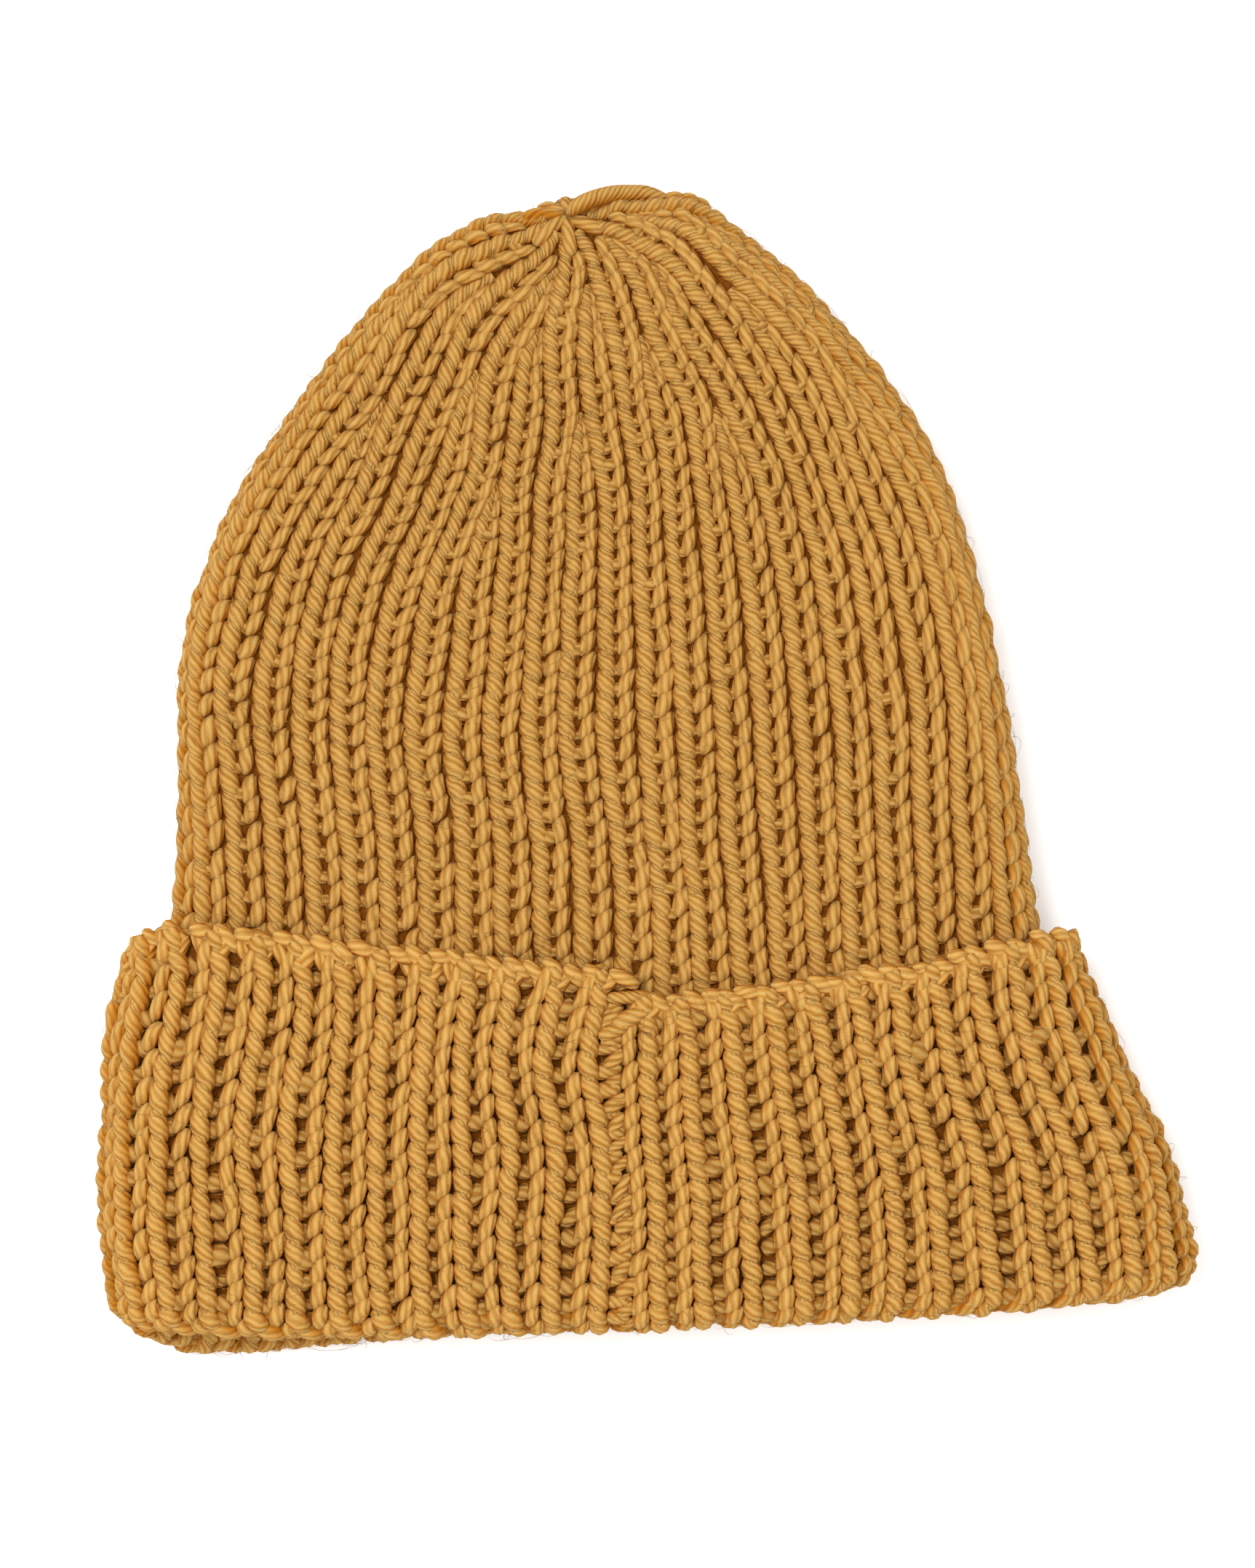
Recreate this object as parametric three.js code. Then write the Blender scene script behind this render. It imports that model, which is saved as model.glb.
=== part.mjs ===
// A ribbed beanie of thick mustard wool, lying on its back with the crown towards +Y and the floor at z = 0.
// One knitted tube makes the hat. Its plain crown is drawn together at the gather, its ribbed lower part is
// turned up outwards as a double brim, and a sewn seam closes the brim on the front. Sizes are in millimetres.
import * as THREE from "three";

// Driving dimensions
const WALL = 4.6; // thickness of the knitted fabric
const GAP = 0.3; // clearance between the brim's layers, and round the gather
const JOIN_GAP = 0.6; // clearance where the crown ends on the ribbing
const SEAM_GAP = 0.0036; // clearance beside the seam, as a share of the front's width
const CAST_ON = 142; // the brim's free edge, measured down the front from the gather
const JOIN = 159; // where the plain crown meets the ribbing, hidden under the turned-up layer
const FOLD = 207; // the line on which the brim turns up
const SIDE_FLARE = 4.2; // how far the turned-up layer stands off the crown at its sides
const FLARE = { starts: 150, ends: 178 }; // it eases off between these lines, and below them the layers touch
const FOLD_ROUND = 11; // length over which the flattened tube rounds off at its side folds
const SEAM_WIDTH = 0.046; // share of the front's width that the brim seam takes
const SEAM_AT = { castOn: 0.531, fold: 0.487 }; // its middle, as a share of the front's width from the left
const GATHER_RADIUS = 4; // the drawn-up hole at the top
const GATHER_DEPTH = 3;
const GATHER_FACES = new THREE.Vector3(0, 0.5, 0.87).normalize(); // up out of the hole, tipped over the top edge
const GATHER_DOMES = 0.5; // how far the hole's mouth stands out of the last round
const EDGE_ROUND = 1.2; // rounding of the cast-on edge
const HOLLOW_STARTS = 17; // the two walls part this far from the gather
const CORNER_SAG = { at: 0.08, depth: 4.4 }; // the back's lower left corner hangs lower than the front's

const WOOL = { roughness: 0.9, metalness: 0 };
const CROWN_COLOUR = "#bf8c44";
const BRIM_COLOUR = "#bb8740";
const SEAM_COLOUR = "#b07c38";

// The outer face of the tube, as rings from the gather to the fold. Each row holds the distance from the gather,
// the places of the left and right side folds and of the front's and the back's middle, and the heights of
// the back, the side folds and the front.
const RING_COLUMNS = ["down", "leftX", "leftY", "rightX", "rightY", "frontX", "frontY", "backX", "backY",
  "back", "side", "front"];
const RING_ROWS = [
  [4, -19.5, 106.8, -11.7, 107.6, -15.4, 103.0, -15.6, 110.2, 10.6, 13.0, 14.6],
  [12, -27.6, 107.2, -4.6, 111.2, -15.2, 95.0, -15.6, 109.6, 3.6, 10.6, 15.6],
  [22, -38.0, 103.2, 6.0, 111.2, -14.8, 85.0, -15.4, 99.0, 0.0, 8.8, 16.6],
  [36, -51.6, 91.0, 18.4, 103.4, -14.0, 71.0, -15.0, 84.0, 0.0, 9.0, 17.8],
  [56, -66.6, 72.0, 37.2, 86.2, -12.8, 51.0, -14.0, 62.0, 0.0, 9.4, 18.8],
  [80, -82.4, 46.0, 56.6, 57.0, -11.2, 27.0, -12.0, 35.0, 0.0, 9.8, 19.8],
  [104, -89.4, 18.0, 66.8, 20.0, -9.8, 3.0, -10.0, 8.0, 0.0, 10.2, 20.4],
  [124, -89.6, -9.0, 71.6, -9.0, -8.8, -17.5, -9.0, -15.0, 1.8, 11.4, 20.8],
  [CAST_ON, -91.0, -32.0, 75.0, -32.0, -7.8, -37.0, -8.0, -35.5, WALL + GAP, 13.0, 21.1],
  [160, -96.4, -53.0, 83.2, -51.5, -5.8, -54.5, -6.0, -53.5, WALL + GAP, 13.0, 21.1],
  [184, -99.6, -77.0, 94.8, -74.0, -4.6, -78.5, -5.0, -78.0, WALL + GAP, 13.0, 21.1],
  [FOLD, -97.6, -99.0, 99.2, -92.6, -4.0, -100.4, -6.0, -101.4, WALL + GAP, 13.0, 21.1],
];

// How finely the faces are laid out
const AROUND_HALF = 26; // steps across the front, and again across the back
const FOLD_BUNCH = 0.09; // how far those steps draw together at the side folds
const SEAM_CLEAR = 0.04; // no step of the brim's lies nearer to the seam's middle than this
const ARC_SAMPLES = 160; // points on which the length of a ring is measured
const SLOPE = { down: 0.4, around: 0.004 }; // steps whose differences give a face's slope

// Smooth steady curve through the table: a cubic Hermite whose slopes are the harmonic means of the neighbouring
// slopes, and zero at a turn, so level stretches stay level. Past the last row it runs on straight.
function steadySlopes(x, y) {
  const secant = x.slice(1).map((next, i) => (y[i + 1] - y[i]) / (next - x[i]));
  return x.map((_, i) => {
    if (i === 0) return secant[0];
    if (i === x.length - 1) return secant[i - 1];
    const before = secant[i - 1];
    const after = secant[i];
    return before * after <= 0 ? 0 : (2 * before * after) / (before + after);
  });
}

const DOWN = RING_ROWS.map((row) => row[0]);
const TABLE = RING_COLUMNS.slice(1).map((name, column) => {
  const values = RING_ROWS.map((row) => row[column + 1]);
  return { name, values, slopes: steadySlopes(DOWN, values) };
});

function ringSizes(down) {
  const last = DOWN.length - 1;
  let i = 0;
  while (i < last - 1 && down > DOWN[i + 1]) i += 1;
  const span = DOWN[i + 1] - DOWN[i];
  const t = (down - DOWN[i]) / span;
  const sizes = {};
  for (const { name, values, slopes } of TABLE) {
    if (down > DOWN[last]) {
      sizes[name] = values[last] + slopes[last] * (down - DOWN[last]);
      continue;
    }
    const a = values[i];
    const b = values[i + 1];
    const rise = (3 - 2 * t) * t * t;
    sizes[name] = a + (b - a) * rise + span * t * (1 - t) * ((1 - t) * slopes[i] - t * slopes[i + 1]);
  }
  return sizes;
}

// Half a ring, from one side fold to the other. Seen from above it is half an ellipse through the side folds and
// the middle. Its height rounds off as a quarter ellipse over FOLD_ROUND at each end and is level between.
function halfRing(from, to, middle, sideHeight, levelHeight, sag) {
  const centre = from.clone().add(to).multiplyScalar(0.5);
  const half = to.clone().sub(from).multiplyScalar(0.5);
  const bow = middle.clone().sub(centre);
  const plan = [];
  const travelled = [0];
  for (let k = 0; k <= ARC_SAMPLES; k += 1) {
    const angle = (Math.PI * k) / ARC_SAMPLES;
    const point = centre.clone().addScaledVector(half, -Math.cos(angle)).addScaledVector(bow, Math.sin(angle));
    const share = (1 - Math.cos(angle)) / 2 / CORNER_SAG.at;
    point.y -= sag * share * Math.exp(1 - share);
    if (k > 0) travelled.push(travelled[k - 1] + point.distanceTo(plan[k - 1]));
    plan.push(point);
  }
  const length = travelled[ARC_SAMPLES];
  const round = Math.min(FOLD_ROUND, length / 2);
  const points = [];
  for (let k = 0; k <= ARC_SAMPLES; k += 1) {
    const along = (length * (1 - Math.cos((Math.PI * k) / ARC_SAMPLES))) / 2;
    const toEnd = Math.min(along, length - along, round) / round;
    const height = sideHeight + (levelHeight - sideHeight) * Math.sqrt(1 - (1 - toEnd) ** 2);
    const i = Math.min(travelled.findLastIndex((far) => far <= along), ARC_SAMPLES - 1);
    const share = (along - travelled[i]) / (travelled[i + 1] - travelled[i]);
    const place = plan[i].clone().lerp(plan[i + 1], share);
    points.push(new THREE.Vector3(place.x, place.y, height));
  }
  return points;
}

function evenly(points) {
  const travelled = [0];
  for (let k = 1; k < points.length; k += 1) {
    travelled.push(travelled[k - 1] + points[k].distanceTo(points[k - 1]));
  }
  const length = travelled[points.length - 1];
  return (share) => {
    const far = Math.min(Math.max(share, 0), 1) * length;
    const i = Math.min(travelled.findLastIndex((d) => d <= far), points.length - 2);
    return points[i].clone().lerp(points[i + 1], (far - travelled[i]) / (travelled[i + 1] - travelled[i]));
  };
}

// The ring at a distance from the gather. around runs from 0 at the left side fold over the front to 1 at the
// right one, and on under the back to 2.
function ring(down) {
  const size = ringSizes(down);
  const left = new THREE.Vector2(size.leftX, size.leftY);
  const right = new THREE.Vector2(size.rightX, size.rightY);
  const frontMiddle = new THREE.Vector2(size.frontX, size.frontY);
  const backMiddle = new THREE.Vector2(size.backX, size.backY);
  const sag = CORNER_SAG.depth * THREE.MathUtils.smoothstep(down, CAST_ON, FOLD);
  const over = evenly(halfRing(left, right, frontMiddle, size.side, size.front, 0));
  const under = evenly(halfRing(left, right, backMiddle, size.side, size.back, sag));
  return (around) => {
    const turn = ((around % 2) + 2) % 2;
    return turn <= 1 ? over(turn) : under(2 - turn);
  };
}

// A row of points on the tube's outer face, moved out along the face's own slope, and stood off the tube level
// with the floor, which moves only its sides.
function faceRow(down, arounds, out, standOff = 0) {
  const here = ring(down);
  const above = ring(down - SLOPE.down);
  const below = ring(down + SLOPE.down);
  return arounds.map((around) => {
    const along = below(around).sub(above(around));
    const across = here(around + SLOPE.around).sub(here(around - SLOPE.around));
    const normal = along.cross(across).normalize();
    const level = new THREE.Vector3(normal.x, normal.y, 0);
    return here(around).addScaledVector(normal, out).addScaledVector(level, standOff);
  });
}

// Places around the tube, closer together at the side folds where the fabric turns.
function placesAround(from, to, count) {
  return Array.from({ length: count + 1 }, (_, k) => {
    const even = from + ((to - from) * k) / count;
    const share = even - Math.floor(even);
    return even - FOLD_BUNCH * Math.sin(2 * Math.PI * share);
  });
}

function mesh(name, positions, faces, colour) {
  const geometry = new THREE.BufferGeometry();
  geometry.setAttribute("position", new THREE.Float32BufferAttribute(positions.flatMap((p) => p.toArray()), 3));
  geometry.setIndex(faces.flat());
  geometry.computeVertexNormals();
  const made = new THREE.Mesh(geometry, new THREE.MeshStandardMaterial({ ...WOOL, color: colour }));
  made.name = name;
  return made;
}

// A closed skin over rings that each go right round, with a tip point at either end.
function bag(rings, firstTip, lastTip) {
  const count = rings[0].length;
  const positions = [...rings.flat(), firstTip, lastTip];
  const first = rings.length * count;
  const faces = [];
  for (let k = 0; k < count; k += 1) {
    const next = (k + 1) % count;
    faces.push([first, k, next]);
    for (let row = 0; row < rings.length - 1; row += 1) {
      const near = row * count;
      const far = near + count;
      faces.push([near + k, far + next, near + next], [near + k, far + k, far + next]);
    }
    const end = (rings.length - 1) * count;
    faces.push([first + 1, end + next, end + k]);
  }
  return [positions, faces];
}

// A closed skin over rows that form a loop in section and stop at two cut ends, each covered by the section.
function band(rows, section) {
  const count = rows[0].length;
  const positions = rows.flat();
  const faces = [];
  for (let row = 0; row < rows.length; row += 1) {
    const near = row * count;
    const far = ((row + 1) % rows.length) * count;
    for (let k = 0; k < count - 1; k += 1) {
      faces.push([near + k, far + k + 1, near + k + 1], [near + k, far + k, far + k + 1]);
    }
  }
  for (const [a, b, c] of THREE.ShapeUtils.triangulateShape(section, [])) {
    const [p, q, r] = [a * count, b * count, c * count];
    faces.push([p, q, r], [r + count - 1, q + count - 1, p + count - 1]);
  }
  return [positions, faces];
}

const steps = (from, to, count) => Array.from({ length: count + 1 }, (_, k) => from + ((to - from) * k) / count);

// Lines round the brim on which the faces of both its layers turn, and the crown's under them
const BRIM_LINES = [CAST_ON + 4, JOIN, ...steps(JOIN + 12, FOLD, 3)];

// The gather's rings and tips. share is the part of the way from the hole's middle to its edge.
const gatherMiddle = ring(DOWN[0])(0.5).add(ring(DOWN[0])(1.5)).multiplyScalar(0.5);
gatherMiddle.addScaledVector(GATHER_FACES, GATHER_DOMES);
const roundTube = placesAround(0, 2, 2 * AROUND_HALF).slice(0, -1);
const gatherEdge = faceRow(DOWN[0], roundTube, 0);
const gatherRing = (share, depth) =>
  gatherEdge.map((p) => gatherMiddle.clone().lerp(p, share).addScaledVector(GATHER_FACES, -depth));
const gatherTip = (depth) => gatherMiddle.clone().addScaledVector(GATHER_FACES, -depth);

// Crown: the plain knitted bag. Its skin runs from the floor of the gather over the outer face to the join, and
// back up the inner face to where the hollow closes. The rings lie closer together round the top.
function crown() {
  const roundTop = { ends: 22, next: 30 };
  const end = JOIN - JOIN_GAP;
  const outer = [...steps(GATHER_RADIUS, roundTop.ends, 4), ...steps(roundTop.next, BRIM_LINES[0], 13), end];
  const inner = [...steps(end, roundTop.next, 12), (roundTop.next + HOLLOW_STARTS) / 2, HOLLOW_STARTS];
  const holeWall = [{ share: 0.85, depth: GATHER_DEPTH }, { share: 0.97, depth: GATHER_DEPTH / 3 }];
  const rings = [
    ...holeWall.map(({ share, depth }) => gatherRing(share, depth)),
    ...outer.map((down) => faceRow(down, roundTube, 0)),
    ...inner.map((down) => faceRow(down, roundTube, -WALL)),
  ];
  const innerTip = rings.at(-1).reduce((sum, p) => sum.add(p), new THREE.Vector3()).divideScalar(roundTube.length);
  return mesh("crown", ...bag(rings, gatherTip(GATHER_DEPTH), innerTip), CROWN_COLOUR);
}

// Crown gather: the drawn-up yarn that closes the last round, a low dome sunk in the crown's top.
function crownGather() {
  const floor = GATHER_DEPTH - GAP;
  const dome = { top: -1.4, shoulder: -1.1 };
  const profile = [
    { share: 0.6, depth: dome.shoulder },
    { share: 0.85, depth: 0 },
    { share: 0.8, depth: GATHER_DEPTH / 3 },
    { share: 0.68, depth: floor },
  ];
  const rings = profile.map(({ share, depth }) => gatherRing(share, depth));
  return mesh("crown_gather", ...bag(rings, gatherTip(dome.top), gatherTip(floor)), SEAM_COLOUR);
}

// The brim's section, as distances from the gather and heights out of the tube's outer face: up the turned-up
// layer's outside is the first stretch, then round the fold and up the inner layer's inside, and back through
// the slit between the two layers. flare marks the turned-up layer.
function brimSection() {
  const outside = GAP + WALL;
  const middle = GAP / 2;
  const turn = steps(70, -70, 4).map((degrees) => {
    const angle = THREE.MathUtils.degToRad(degrees);
    const radius = WALL + middle;
    return { down: FOLD + radius * Math.cos(angle), out: middle + radius * Math.sin(angle) };
  });
  const innerLines = BRIM_LINES.filter((down) => down > JOIN);
  return [
    { down: CAST_ON + EDGE_ROUND, out: GAP, flare: 1 },
    { down: CAST_ON, out: GAP + EDGE_ROUND, flare: 1 },
    { down: CAST_ON, out: outside - EDGE_ROUND, flare: 1 },
    { down: CAST_ON + EDGE_ROUND, out: outside, flare: 1 },
    ...BRIM_LINES.map((down) => ({ down, out: outside, flare: 1 })),
    ...turn,
    ...innerLines.toReversed().map((down) => ({ down, out: -WALL })),
    { down: JOIN, out: -WALL },
    { down: JOIN, out: 0 },
    ...innerLines.map((down) => ({ down, out: 0 })),
    ...BRIM_LINES.toReversed().map((down) => ({ down, out: GAP, flare: 1 })),
  ];
}

function brimPiece(name, colour, placesFor) {
  const section = brimSection();
  const rows = section.map(({ down, out, flare = 0 }) => {
    const standOff = flare * SIDE_FLARE * (1 - THREE.MathUtils.smoothstep(down, FLARE.starts, FLARE.ends));
    return faceRow(down, placesFor(down), out, standOff);
  });
  const outline = section.map(({ down, out }) => new THREE.Vector2(down, out));
  return mesh(name, ...band(rows, outline), colour);
}

const seamMiddle = (down) =>
  THREE.MathUtils.mapLinear(down, CAST_ON, FOLD, SEAM_AT.castOn, SEAM_AT.fold);

// Folded brim: the ribbed double band, which starts and ends at the seam.
function foldedBrim() {
  const clear = SEAM_WIDTH / 2 + SEAM_GAP;
  const besideSeam = { from: SEAM_AT.castOn + SEAM_CLEAR, to: SEAM_AT.fold + 2 - SEAM_CLEAR };
  const rest = placesAround(0, 2, 2 * AROUND_HALF).slice(0, -1)
    .map((around) => (around < besideSeam.from ? around + 2 : around))
    .filter((around) => around < besideSeam.to)
    .toSorted((a, b) => a - b);
  const places = (down) => [seamMiddle(down) + clear, ...rest, seamMiddle(down) + 2 - clear];
  return brimPiece("folded_brim", BRIM_COLOUR, places);
}

// Brim seam: the sewn selvedges, which run the height of the double brim and round its fold.
function brimSeam() {
  const places = (down) => steps(-SEAM_WIDTH / 2, SEAM_WIDTH / 2, 2).map((off) => seamMiddle(down) + off);
  return brimPiece("brim_seam", SEAM_COLOUR, places);
}

const beanie = new THREE.Group();
beanie.name = "ribbed_beanie";
beanie.add(crown(), crownGather(), foldedBrim(), brimSeam());

export default beanie;
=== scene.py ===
import bpy
import numpy as np
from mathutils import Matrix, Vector


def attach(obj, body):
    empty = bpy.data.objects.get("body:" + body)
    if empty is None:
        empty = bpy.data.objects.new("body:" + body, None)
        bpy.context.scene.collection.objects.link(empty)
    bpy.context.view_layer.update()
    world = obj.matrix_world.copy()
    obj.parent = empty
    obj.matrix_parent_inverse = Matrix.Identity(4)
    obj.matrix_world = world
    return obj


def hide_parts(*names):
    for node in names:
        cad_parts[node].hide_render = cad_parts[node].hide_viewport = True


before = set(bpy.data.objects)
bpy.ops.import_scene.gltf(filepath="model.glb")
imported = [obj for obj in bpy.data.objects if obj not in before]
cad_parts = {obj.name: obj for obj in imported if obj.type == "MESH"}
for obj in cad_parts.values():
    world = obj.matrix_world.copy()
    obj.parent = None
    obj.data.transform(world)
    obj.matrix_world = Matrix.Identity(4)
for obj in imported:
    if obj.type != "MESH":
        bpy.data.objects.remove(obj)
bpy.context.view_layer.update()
MM = 0.001

# Crown wall
# The hat is one knitted tube of wool, flattened as it lies. The crown's wall is the felted body of the fabric
# under its stitches, and it closes where the tube is drawn together at the top.
CAST_ON = 142.0  # the brim's free edge, measured down the front from the gather
JOIN = 159.0  # where the plain crown meets the ribbing, under the brim
FOLD = 207.0  # the line on which the brim turns up
GATHER = 4.0  # the drawn-up hole's edge
WALL = 4.6
FOLD_ROUND = 11.0  # length over which the flattened tube rounds off at its side folds
CORNER_SAG = {"at": 0.08, "depth": 4.4}  # the back's lower left corner hangs lower than the front's

# The tube's outer face as rings from the gather down to the fold: the places of the left and right side folds
# and of the front's and the back's middle, and the heights of the back, the side folds and the front.
RING_COLUMNS = ("down", "left_x", "left_y", "right_x", "right_y", "front_x", "front_y", "back_x", "back_y",
                "back", "side", "front")
RING_ROWS = np.array([
    [GATHER, -19.5, 106.8, -11.7, 107.6, -15.4, 103.0, -15.6, 110.2, 10.6, 13.0, 14.6],
    [12, -27.6, 107.2, -4.6, 111.2, -15.2, 95.0, -15.6, 109.6, 3.6, 10.6, 15.6],
    [22, -38.0, 103.2, 6.0, 111.2, -14.8, 85.0, -15.4, 99.0, 0.0, 8.8, 16.6],
    [36, -51.6, 91.0, 18.4, 103.4, -14.0, 71.0, -15.0, 84.0, 0.0, 9.0, 17.8],
    [56, -66.6, 72.0, 37.2, 86.2, -12.8, 51.0, -14.0, 62.0, 0.0, 9.4, 18.8],
    [80, -82.4, 46.0, 56.6, 57.0, -11.2, 27.0, -12.0, 35.0, 0.0, 9.8, 19.8],
    [104, -89.4, 18.0, 66.8, 20.0, -9.8, 3.0, -10.0, 8.0, 0.0, 10.2, 20.4],
    [124, -89.6, -9.0, 71.6, -9.0, -8.8, -17.5, -9.0, -15.0, 1.8, 11.4, 20.8],
    [CAST_ON, -91.0, -32.0, 75.0, -32.0, -7.8, -37.0, -8.0, -35.5, 4.9, 13.0, 21.1],
    [160, -96.4, -53.0, 83.2, -51.5, -5.8, -54.5, -6.0, -53.5, 4.9, 13.0, 21.1],
    [184, -99.6, -77.0, 94.8, -74.0, -4.6, -78.5, -5.0, -78.0, 4.9, 13.0, 21.1],
    [FOLD, -97.6, -99.0, 99.2, -92.6, -4.0, -100.4, -6.0, -101.4, 4.9, 13.0, 21.1],
])
GRID_DOWN = np.arange(2.0, 222.0, 1.0)  # rings of the grid on which the tube is worked out
GRID_HALF = 160  # its steps across the front, and again across the back
PLAN_STEPS = 200  # steps in which a half ring's outline is first drawn


def smooth(value, low, high):
    """Rises from 0 at low to 1 at high, level at both ends: three squares less two cubes."""
    share = np.clip((value - low) / (high - low), 0, 1)
    return share * share * (3 - 2 * share)


def steady(x, y, at):
    """Cubic through the rows y at the places x. Its slope at a row is the harmonic mean of the slopes on both
    sides, and zero at a turn. Past the last row it runs on straight."""
    secant = np.diff(y, axis=0) / np.diff(x)[:, None]
    product = secant[:-1] * secant[1:]
    mean = np.where(product > 0, 2 * product / np.where(product > 0, secant[:-1] + secant[1:], 1), 0)
    slope = np.concatenate([secant[:1], mean, secant[-1:]])
    i = np.clip(np.searchsorted(x, at, side="right") - 1, 0, len(x) - 2)
    span = (x[i + 1] - x[i])[:, None]
    t = (at[:, None] - x[i][:, None]) / span
    curve = y[i] + (y[i + 1] - y[i]) * (3 - 2 * t) * t * t
    curve = curve + span * t * (1 - t) * ((1 - t) * slope[i] - t * slope[i + 1])
    straight = y[-1] + slope[-1] * (at[:, None] - x[-1])
    return np.where(at[:, None] > x[-1], straight, curve)


def travelled(points):
    """Length of a line of points up to each point."""
    steps = np.linalg.norm(np.diff(points, axis=0), axis=1)
    return np.concatenate([[0], np.cumsum(steps)])


def half_ring(left, right, middle, side, level, sag):
    """Half an ellipse through the side folds and the middle, seen from above, whose height rounds off as a
    quarter ellipse at each fold. Its left end sags by the share along over the sag's place, times e to the
    power of one less that share. Its points are evenly spaced."""
    angle = np.linspace(0, np.pi, PLAN_STEPS)[:, None]
    centre, half = (left + right) / 2, (right - left) / 2
    plan = centre - half * np.cos(angle) + (middle - centre) * np.sin(angle)
    share = (1 - np.cos(angle[:, 0])) / 2 / CORNER_SAG["at"]
    plan[:, 1] -= sag * share * np.exp(1 - share)
    far = travelled(plan)
    along = far[-1] * (1 - np.cos(angle[:, 0])) / 2
    round_off = min(FOLD_ROUND, far[-1] / 2)
    to_end = np.minimum(np.minimum(along, far[-1] - along), round_off) / round_off
    height = side + (level - side) * np.sqrt(1 - (1 - to_end) ** 2)
    points = np.stack([np.interp(along, far, plan[:, 0]), np.interp(along, far, plan[:, 1]), height], 1)
    far = travelled(points)
    even = np.linspace(0, far[-1], GRID_HALF + 1)
    return np.stack([np.interp(even, far, points[:, axis]) for axis in range(3)], 1)


def tube_grid():
    """Places on the tube's outer face, its slopes down and around, and its outward normals. The entries run
    from the left side fold over the front to the right one, and back under."""
    rows = []
    for down, row in zip(GRID_DOWN, steady(RING_ROWS[:, 0], RING_ROWS[:, 1:], GRID_DOWN)):
        size = dict(zip(RING_COLUMNS[1:], row))
        left, right = np.array([size["left_x"], size["left_y"]]), np.array([size["right_x"], size["right_y"]])
        front, back = np.array([size["front_x"], size["front_y"]]), np.array([size["back_x"], size["back_y"]])
        sag = CORNER_SAG["depth"] * smooth(down, CAST_ON, FOLD)
        over = half_ring(left, right, front, size["side"], size["front"], 0)
        under = half_ring(left, right, back, size["side"], size["back"], sag)
        rows.append(np.concatenate([over[:-1], under[:0:-1]]))
    places = np.array(rows)
    down = np.gradient(places, GRID_DOWN, axis=0)
    around = (np.roll(places, -1, 1) - np.roll(places, 1, 1)) * GRID_HALF / 2
    normal = np.cross(down, around)
    normal /= np.linalg.norm(normal, axis=-1, keepdims=True)
    return places, down, around, normal


PLACES, SLOPE_DOWN, SLOPE_AROUND, NORMALS = tube_grid()


def between(at, count):
    """The last of count entries before a place among them, and the share of the way to the next."""
    at = np.clip(at, 0, count - 1.001)
    entry = np.floor(at).astype(int)
    return entry, at - entry


def on_grid(grid, down, around):
    """The grid's value at a distance down and a share around, blended between its four nearest entries."""
    i, down_share = between(down - GRID_DOWN[0], len(GRID_DOWN))
    column = np.mod(around, 2) * GRID_HALF
    whole = np.floor(column)
    j = whole.astype(int) % (2 * GRID_HALF)
    after = (j + 1) % (2 * GRID_HALF)
    down_share, around_share = down_share[..., None], (column - whole)[..., None]
    above = grid[i, j] * (1 - around_share) + grid[i, after] * around_share
    below = grid[i + 1, j] * (1 - around_share) + grid[i + 1, after] * around_share
    return above * (1 - down_share) + below * down_share


def unit(vectors):
    """Each vector over its own length."""
    return vectors / np.linalg.norm(vectors, axis=-1, keepdims=True)


def on_tube(down, around, out):
    """A place on the tube's outer face, moved out along its normal, and that normal."""
    down, around, out = np.broadcast_arrays(down, around, out)
    normal = unit(on_grid(NORMALS, down, around))
    return on_grid(PLACES, down, around) + normal * out[..., None], normal


def make_mesh(name, points, quads, caps=None, uv=None):
    """A mesh of quads and of end caps with any one number of corners, from whole arrays in millimetres. uv
    has a row for each corner of each face, first the quads' and then the caps'."""
    caps = np.zeros((0, 3), int) if caps is None else caps
    corners = np.concatenate([quads.ravel(), caps.ravel()]).astype(np.int32)
    sizes = np.concatenate([np.full(len(quads), 4), np.full(len(caps), caps.shape[1])]).astype(np.int32)
    mesh = bpy.data.meshes.new(name)
    mesh.vertices.add(len(points))
    mesh.vertices.foreach_set("co", (points * MM).astype(np.float32).ravel())
    mesh.loops.add(len(corners))
    mesh.loops.foreach_set("vertex_index", corners)
    mesh.polygons.add(len(sizes))
    mesh.polygons.foreach_set("loop_start", np.concatenate([[0], np.cumsum(sizes)[:-1]]).astype(np.int32))
    mesh.polygons.foreach_set("loop_total", sizes)
    if uv is not None:
        layer = mesh.uv_layers.new(name="Yarn")
        layer.data.foreach_set("uv", uv.astype(np.float32).ravel())
    mesh.update()
    mesh.validate()
    mesh.shade_smooth()
    piece = bpy.data.objects.new(name, mesh)
    bpy.context.scene.collection.objects.link(piece)
    return piece


def skin(name, rows, closed_rows=False):
    """A closed skin over rows that each go right round. closed_rows joins the last row to the first, and
    otherwise each end is drawn to its own middle."""
    points = np.concatenate(rows)
    index = np.arange(len(points)).reshape(len(rows), -1)
    here, below = (index, np.roll(index, -1, 0)) if closed_rows else (index[:-1], index[1:])
    quads = np.stack([here, below, np.roll(below, -1, 1), np.roll(here, -1, 1)], -1).reshape(-1, 4)
    caps = None
    if not closed_rows:
        first, last = index[0], index[-1]
        tips = np.full_like(first, len(points)), np.full_like(last, len(points) + 1)
        caps = np.concatenate([np.stack([tips[0], first, np.roll(first, -1)], 1),
                               np.stack([tips[1], np.roll(last, -1), last], 1)])
        points = np.concatenate([points, [rows[0].mean(0), rows[-1].mean(0)]])
    return make_mesh(name, points, quads, caps)


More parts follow.
